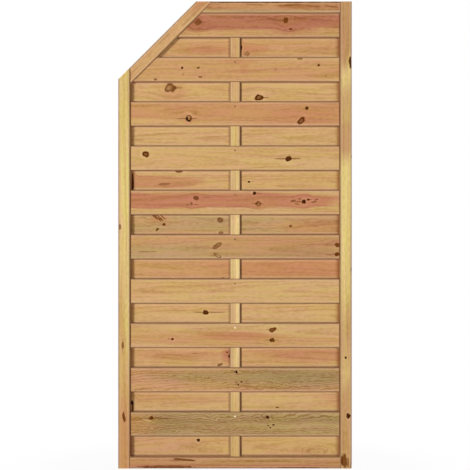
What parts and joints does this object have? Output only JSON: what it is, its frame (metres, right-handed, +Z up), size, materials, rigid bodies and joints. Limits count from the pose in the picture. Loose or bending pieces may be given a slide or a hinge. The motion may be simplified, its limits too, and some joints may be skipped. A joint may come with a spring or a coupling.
{
  "type": "fence panel",
  "caption": "Closed wooden fence panel with one sloped top corner: a grooved frame holds level boards, placed by turns in front of and behind a centre batten.",
  "frame": {"origin": "middle of the panel's foot: half its width, half its depth, at the stiles' lower ends", "axes": "+X across the panel to the right stile, +Y from its front to its back, +Z up"},
  "size_m": [0.9, 0.045, 1.8],
  "materials": {
    "frame_wood": "planed pine, oiled",
    "front_board_wood": "planed pine, oiled",
    "back_board_wood": "planed pine, oiled",
    "batten_wood": "planed pine, oiled",
    "nail_steel": "dull zinc",
    "screw_steel": "dull zinc"
  },
  "bodies": {
    "root": {"back_board_01": "back_board_wood", "back_board_02": "back_board_wood", "back_board_03": "back_board_wood", "back_board_04": "back_board_wood", "back_board_05": "back_board_wood", "back_board_06": "back_board_wood", "back_board_07": "back_board_wood", "back_board_08": "back_board_wood", "back_board_09": "back_board_wood", "back_board_10": "back_board_wood", "back_nails": "nail_steel", "bottom_rail": "frame_wood", "centre_batten": "batten_wood", "frame_screws": "screw_steel", "front_board_01": "front_board_wood", "front_board_02": "front_board_wood", "front_board_03": "front_board_wood", "front_board_04": "front_board_wood", "front_board_05": "front_board_wood", "front_board_06": "front_board_wood", "front_board_07": "front_board_wood", "front_board_08": "front_board_wood", "front_board_09": "front_board_wood", "front_board_10": "front_board_wood", "front_nails": "nail_steel", "left_stile": "frame_wood", "right_stile": "frame_wood", "slope_screws": "screw_steel", "sloped_rail": "frame_wood", "top_rail": "frame_wood"}
  },
  "joints": []
}
